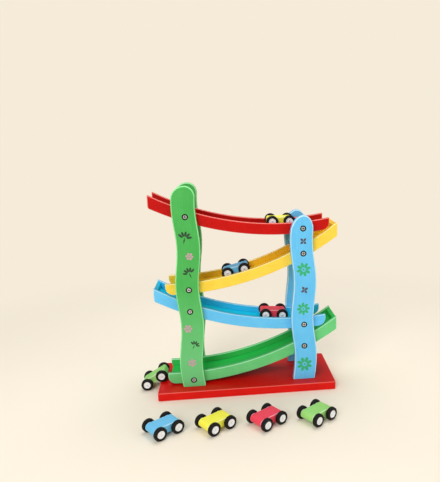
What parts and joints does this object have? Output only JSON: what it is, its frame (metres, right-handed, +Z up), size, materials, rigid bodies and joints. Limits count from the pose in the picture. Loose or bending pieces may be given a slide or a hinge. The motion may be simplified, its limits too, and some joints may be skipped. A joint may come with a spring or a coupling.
{
  "type": "click clack track toy",
  "caption": "Toy car run of curved wooden tracks stacked in a zigzag between wavy posts on a red base, with small cars on the tracks and in front.",
  "frame": {"origin": "centre of the base board's underside", "axes": "+X along the base board towards the blue posts, +Y from the front to the back, +Z up"},
  "size_m": [0.271, 0.1999, 0.2799],
  "materials": {
    "base_paint": "satin red paint",
    "left_post_paint": "satin green paint",
    "right_post_paint": "satin sky blue paint",
    "red_track_paint": "satin red paint",
    "yellow_track_paint": "satin yellow paint",
    "blue_track_paint": "satin blue paint",
    "green_track_paint": "satin green paint",
    "yellow_car_paint": "satin yellow paint",
    "blue_car_paint": "satin light blue paint",
    "red_car_paint": "satin rose red paint",
    "green_car_paint": "satin light green paint",
    "hub_plastic": "white plastic on steel axles",
    "tyre_rubber": "black rubber",
    "screw_steel": "zinc plated steel"
  },
  "bodies": {
    "toy": {"base_board": "base_paint", "left_front_post": "left_post_paint", "left_rear_post": "left_post_paint", "right_front_post": "right_post_paint", "right_rear_post": "right_post_paint", "red_front_rail": "red_track_paint", "red_rear_rail": "red_track_paint", "red_bed": "red_track_paint", "yellow_front_rail": "yellow_track_paint", "yellow_rear_rail": "yellow_track_paint", "yellow_bed": "yellow_track_paint", "blue_front_rail": "blue_track_paint", "blue_rear_rail": "blue_track_paint", "blue_bed": "blue_track_paint", "green_front_rail": "green_track_paint", "green_rear_rail": "green_track_paint", "green_bed": "green_track_paint", "front_post_screws": "screw_steel", "rear_post_screws": "screw_steel", "base_screws": "screw_steel"},
    "yellow_track_car": {"yellow_track_car_body": "yellow_car_paint"},
    "yellow_track_car_front_wheels": {"yellow_track_car_front_hubs": "hub_plastic", "yellow_track_car_front_tyres": "tyre_rubber"},
    "yellow_track_car_rear_wheels": {"yellow_track_car_rear_hubs": "hub_plastic", "yellow_track_car_rear_tyres": "tyre_rubber"},
    "blue_track_car": {"blue_track_car_body": "blue_car_paint"},
    "blue_track_car_front_wheels": {"blue_track_car_front_hubs": "hub_plastic", "blue_track_car_front_tyres": "tyre_rubber"},
    "blue_track_car_rear_wheels": {"blue_track_car_rear_hubs": "hub_plastic", "blue_track_car_rear_tyres": "tyre_rubber"},
    "red_track_car": {"red_track_car_body": "red_car_paint"},
    "red_track_car_front_wheels": {"red_track_car_front_hubs": "hub_plastic", "red_track_car_front_tyres": "tyre_rubber"},
    "red_track_car_rear_wheels": {"red_track_car_rear_hubs": "hub_plastic", "red_track_car_rear_tyres": "tyre_rubber"},
    "green_exit_car": {"green_exit_car_body": "green_car_paint"},
    "green_exit_car_front_wheels": {"green_exit_car_front_hubs": "hub_plastic", "green_exit_car_front_tyres": "tyre_rubber"},
    "green_exit_car_rear_wheels": {"green_exit_car_rear_hubs": "hub_plastic", "green_exit_car_rear_tyres": "tyre_rubber"},
    "blue_floor_car": {"blue_floor_car_body": "blue_car_paint"},
    "blue_floor_car_front_wheels": {"blue_floor_car_front_hubs": "hub_plastic", "blue_floor_car_front_tyres": "tyre_rubber"},
    "blue_floor_car_rear_wheels": {"blue_floor_car_rear_hubs": "hub_plastic", "blue_floor_car_rear_tyres": "tyre_rubber"},
    "yellow_floor_car": {"yellow_floor_car_body": "yellow_car_paint"},
    "yellow_floor_car_front_wheels": {"yellow_floor_car_front_hubs": "hub_plastic", "yellow_floor_car_front_tyres": "tyre_rubber"},
    "yellow_floor_car_rear_wheels": {"yellow_floor_car_rear_hubs": "hub_plastic", "yellow_floor_car_rear_tyres": "tyre_rubber"},
    "red_floor_car": {"red_floor_car_body": "red_car_paint"},
    "red_floor_car_front_wheels": {"red_floor_car_front_hubs": "hub_plastic", "red_floor_car_front_tyres": "tyre_rubber"},
    "red_floor_car_rear_wheels": {"red_floor_car_rear_hubs": "hub_plastic", "red_floor_car_rear_tyres": "tyre_rubber"},
    "green_floor_car": {"green_floor_car_body": "green_car_paint"},
    "green_floor_car_front_wheels": {"green_floor_car_front_hubs": "hub_plastic", "green_floor_car_front_tyres": "tyre_rubber"},
    "green_floor_car_rear_wheels": {"green_floor_car_rear_hubs": "hub_plastic", "green_floor_car_rear_tyres": "tyre_rubber"}
  },
  "joints": [
    {"name": "yellow_track_car_run", "type": "hinge", "parent": "toy", "child": "yellow_track_car", "pos_m": [0.0524, 0, 0.59738], "axis": [0, 1, 0], "range_deg": [-2.56, 24.99]},
    {"name": "blue_track_car_run", "type": "hinge", "parent": "toy", "child": "blue_track_car", "pos_m": [-0.09609, 0, 0.52221], "axis": [0, 1, 0], "range_deg": [-19.19, 7.33]},
    {"name": "red_track_car_run", "type": "hinge", "parent": "toy", "child": "red_track_car", "pos_m": [0.06713, 0, 0.46711], "axis": [0, 1, 0], "range_deg": [-3.57, 21.84]},
    {"name": "green_exit_car_tip", "type": "hinge", "parent": "toy", "child": "green_exit_car", "pos_m": [-0.117, 0, 0.0193], "axis": [0, 1, 0], "range_deg": [0, 29.43]},
    {"name": "blue_floor_car_roll", "type": "slide", "parent": "toy", "child": "blue_floor_car", "axis": [-0.809, -0.5878, 0], "range_m": [-0.04, 0.1]},
    {"name": "yellow_floor_car_roll", "type": "slide", "parent": "toy", "child": "yellow_floor_car", "axis": [-0.809, -0.5878, 0], "range_m": [-0.04, 0.1]},
    {"name": "red_floor_car_roll", "type": "slide", "parent": "toy", "child": "red_floor_car", "axis": [-0.809, -0.5878, 0], "range_m": [-0.04, 0.1]},
    {"name": "green_floor_car_roll", "type": "slide", "parent": "toy", "child": "green_floor_car", "axis": [-0.809, -0.5878, 0], "range_m": [-0.04, 0.1]},
    {"name": "yellow_track_car_front_wheels_spin", "type": "hinge", "parent": "yellow_track_car", "child": "yellow_track_car_front_wheels", "pos_m": [0.0635, 0, 0.22785], "axis": [0, 1, 0], "continuous": true},
    {"name": "yellow_track_car_rear_wheels_spin", "type": "hinge", "parent": "yellow_track_car", "child": "yellow_track_car_rear_wheels", "pos_m": [0.0405, 0, 0.22787], "axis": [0, 1, 0], "continuous": true},
    {"name": "blue_track_car_front_wheels_spin", "type": "hinge", "parent": "blue_track_car", "child": "blue_track_car_front_wheels", "pos_m": [-0.02118, 0, 0.16017], "axis": [0, 1, 0], "continuous": true},
    {"name": "blue_track_car_rear_wheels_spin", "type": "hinge", "parent": "blue_track_car", "child": "blue_track_car_rear_wheels", "pos_m": [0.00118, 0, 0.16553], "axis": [0, 1, 0], "continuous": true},
    {"name": "red_track_car_front_wheels_spin", "type": "hinge", "parent": "red_track_car", "child": "red_track_car_front_wheels", "pos_m": [0.05147, 0, 0.09774], "axis": [0, 1, 0], "continuous": true},
    {"name": "red_track_car_rear_wheels_spin", "type": "hinge", "parent": "red_track_car", "child": "red_track_car_rear_wheels", "pos_m": [0.02853, 0, 0.09943], "axis": [0, 1, 0], "continuous": true},
    {"name": "green_exit_car_rear_wheels_spin", "type": "hinge", "parent": "green_exit_car", "child": "green_exit_car_rear_wheels", "pos_m": [-0.117, 0, 0.0193], "axis": [0, 1, 0], "continuous": true},
    {"name": "green_exit_car_front_wheels_spin", "type": "hinge", "parent": "green_exit_car", "child": "green_exit_car_front_wheels", "pos_m": [-0.13703, 0, 0.008], "axis": [0, 1, 0], "continuous": true},
    {"name": "blue_floor_car_front_wheels_spin", "type": "hinge", "parent": "blue_floor_car", "child": "blue_floor_car_front_wheels", "pos_m": [-0.1133, -0.13276, 0.008], "axis": [0.5878, -0.809, 0], "continuous": true},
    {"name": "blue_floor_car_rear_wheels_spin", "type": "hinge", "parent": "blue_floor_car", "child": "blue_floor_car_rear_wheels", "pos_m": [-0.0947, -0.11924, 0.008], "axis": [0.5878, -0.809, 0], "continuous": true},
    {"name": "yellow_floor_car_front_wheels_spin", "type": "hinge", "parent": "yellow_floor_car", "child": "yellow_floor_car_front_wheels", "pos_m": [-0.0523, -0.13166, 0.008], "axis": [0.5878, -0.809, 0], "continuous": true},
    {"name": "yellow_floor_car_rear_wheels_spin", "type": "hinge", "parent": "yellow_floor_car", "child": "yellow_floor_car_rear_wheels", "pos_m": [-0.0337, -0.11814, 0.008], "axis": [0.5878, -0.809, 0], "continuous": true},
    {"name": "red_floor_car_front_wheels_spin", "type": "hinge", "parent": "red_floor_car", "child": "red_floor_car_front_wheels", "pos_m": [0.0087, -0.13056, 0.008], "axis": [0.5878, -0.809, 0], "continuous": true},
    {"name": "red_floor_car_rear_wheels_spin", "type": "hinge", "parent": "red_floor_car", "child": "red_floor_car_rear_wheels", "pos_m": [0.0273, -0.11704, 0.008], "axis": [0.5878, -0.809, 0], "continuous": true},
    {"name": "green_floor_car_front_wheels_spin", "type": "hinge", "parent": "green_floor_car", "child": "green_floor_car_front_wheels", "pos_m": [0.0697, -0.12946, 0.008], "axis": [0.5878, -0.809, 0], "continuous": true},
    {"name": "green_floor_car_rear_wheels_spin", "type": "hinge", "parent": "green_floor_car", "child": "green_floor_car_rear_wheels", "pos_m": [0.0883, -0.11594, 0.008], "axis": [0.5878, -0.809, 0], "continuous": true}
  ]
}
